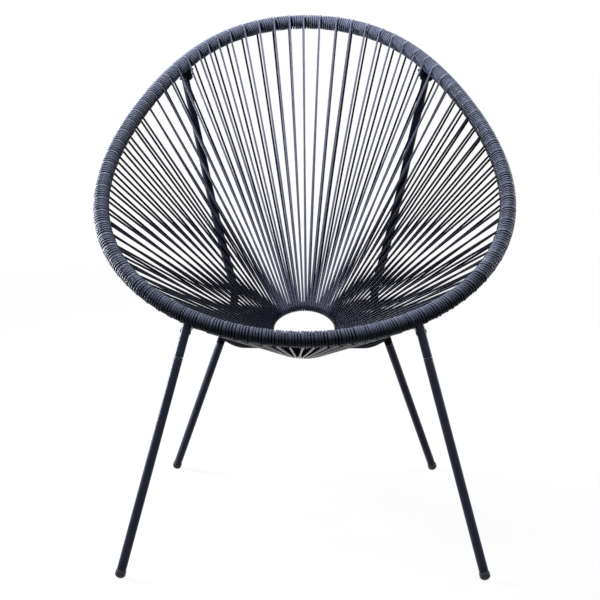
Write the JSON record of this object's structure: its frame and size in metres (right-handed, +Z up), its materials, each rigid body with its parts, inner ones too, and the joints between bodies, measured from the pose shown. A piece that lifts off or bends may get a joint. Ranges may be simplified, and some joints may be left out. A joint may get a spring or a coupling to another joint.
{
  "type": "lounge chair",
  "caption": "Round lounge chair: a leaning steel hoop laced with plastic cord to a small seat ring, on a bent tube frame with four splayed screw-on legs.",
  "frame": {"origin": "middle of the chair's bounding box, on the floor", "axes": "+Z up, the front of the chair faces -Y, +X to the right as seen from the front"},
  "size_m": [0.7296, 0.756, 0.8839],
  "materials": {
    "cord": "smooth semi-gloss anthracite blue plastic cord",
    "frame_steel": "semi-gloss dark anthracite powder coat",
    "hoop_steel": "dark coat, covered by cord",
    "zinc": "plain zinc, inside the tubes",
    "cap": "matt black plastic"
  },
  "bodies": {
    "root": {"crossbar": "frame_steel", "foot_cap_front_left": "cap", "foot_cap_front_right": "cap", "foot_cap_rear_left": "cap", "foot_cap_rear_right": "cap", "front_stub_left": "frame_steel", "front_stub_right": "frame_steel", "leg_bush_front_left": "zinc", "leg_bush_front_right": "zinc", "leg_bush_rear_left": "zinc", "leg_bush_rear_right": "zinc", "leg_front_left": "frame_steel", "leg_front_right": "frame_steel", "leg_rear_left": "frame_steel", "leg_rear_right": "frame_steel", "leg_stud_front_left": "zinc", "leg_stud_front_right": "zinc", "leg_stud_rear_left": "zinc", "leg_stud_rear_right": "zinc", "rear_frame_tube_left": "frame_steel", "rear_frame_tube_right": "frame_steel", "rim_tube": "hoop_steel", "rim_wrap_01": "cord", "rim_wrap_02": "cord", "rim_wrap_03": "cord", "rim_wrap_04": "cord", "rim_wrap_05": "cord", "rim_wrap_06": "cord", "rim_wrap_07": "cord", "rim_wrap_08": "cord", "rim_wrap_09": "cord", "rim_wrap_10": "cord", "seat_cords_01": "cord", "seat_cords_02": "cord", "seat_cords_03": "cord", "seat_cords_04": "cord", "seat_cords_05": "cord", "seat_cords_06": "cord", "seat_cords_07": "cord", "seat_cords_08": "cord", "seat_cords_09": "cord", "seat_cords_10": "cord", "seat_ring": "hoop_steel", "side_rail_left": "frame_steel", "side_rail_right": "frame_steel", "strut_lashing_left": "cord", "strut_lashing_right": "cord"}
  },
  "joints": []
}
